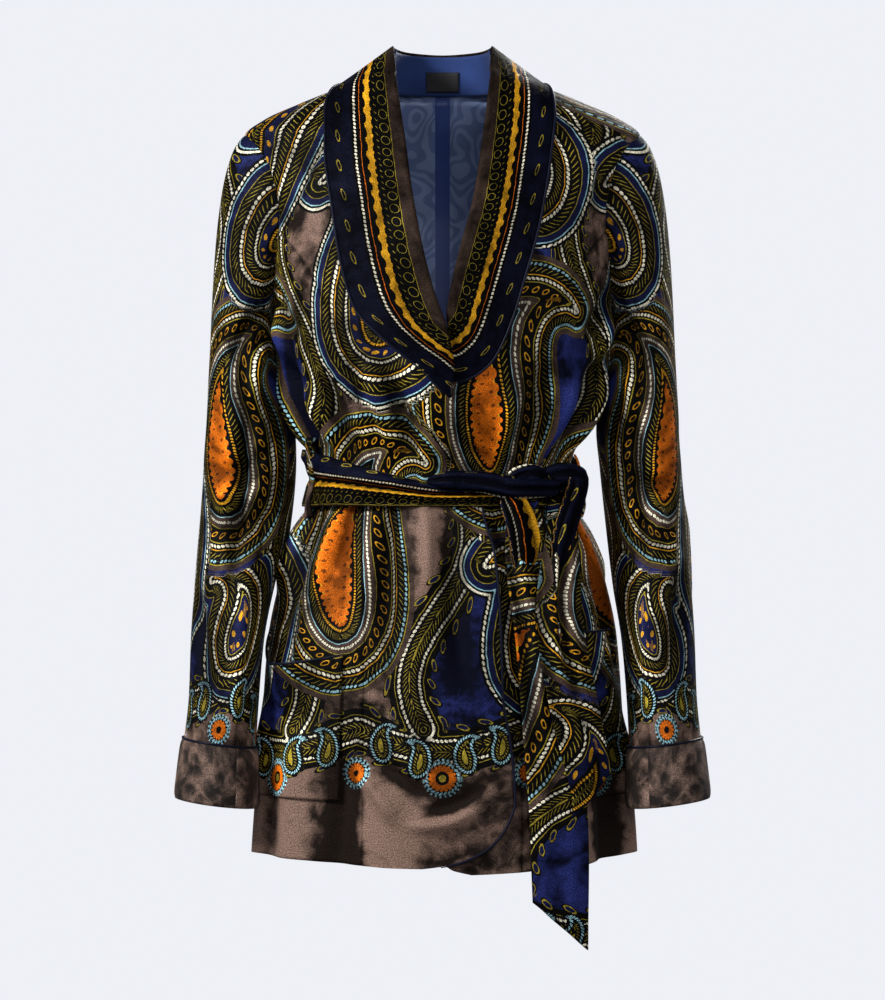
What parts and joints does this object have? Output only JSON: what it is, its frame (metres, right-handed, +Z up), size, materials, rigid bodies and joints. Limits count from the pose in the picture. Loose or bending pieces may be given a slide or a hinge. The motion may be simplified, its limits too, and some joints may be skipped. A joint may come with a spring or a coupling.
{
  "type": "wrap blazer",
  "caption": "Wrap jacket with a shawl collar, turned-back cuffs, patch pockets and a tied cloth belt, shown filled out and hollow.",
  "frame": {"origin": "on the garment's middle plane between the shoulders, at the base of the neck, where the wearer carries it", "axes": "+Z up along the length, -Y towards the front, +X towards the wearer's left"},
  "size_m": [0.4918, 0.2656, 0.8299],
  "materials": {
    "printed_velvet": "printed velvet, short cut pile",
    "brown_velvet": "plain brown velvet, short cut pile",
    "navy_velvet": "navy printed velvet, short cut pile",
    "navy_satin": "navy satin, soft sheen",
    "label_satin": "black woven label"
  },
  "bodies": {
    "root": {"back": "printed_velvet", "front_right": "printed_velvet", "front_left": "printed_velvet", "side_panel_right": "printed_velvet", "side_panel_left": "printed_velvet", "pocket_right": "printed_velvet", "pocket_left": "printed_velvet", "upper_sleeve_right": "printed_velvet", "upper_sleeve_left": "printed_velvet", "under_sleeve_right": "printed_velvet", "under_sleeve_left": "printed_velvet", "belt_right": "printed_velvet", "belt_left": "printed_velvet", "belt_knot": "printed_velvet", "belt_tail_long": "printed_velvet", "belt_tail_short": "printed_velvet", "belt_loop_right": "printed_velvet", "belt_loop_left": "printed_velvet", "cuff_right": "brown_velvet", "cuff_left": "brown_velvet", "collar_right": "navy_velvet", "collar_left": "navy_velvet", "collar_piping_right": "navy_satin", "collar_piping_left": "navy_satin", "front_piping": "navy_satin", "cuff_piping_right": "navy_satin", "cuff_piping_left": "navy_satin", "neck_facing": "navy_satin", "back_lining": "navy_satin", "label": "label_satin"}
  },
  "joints": []
}
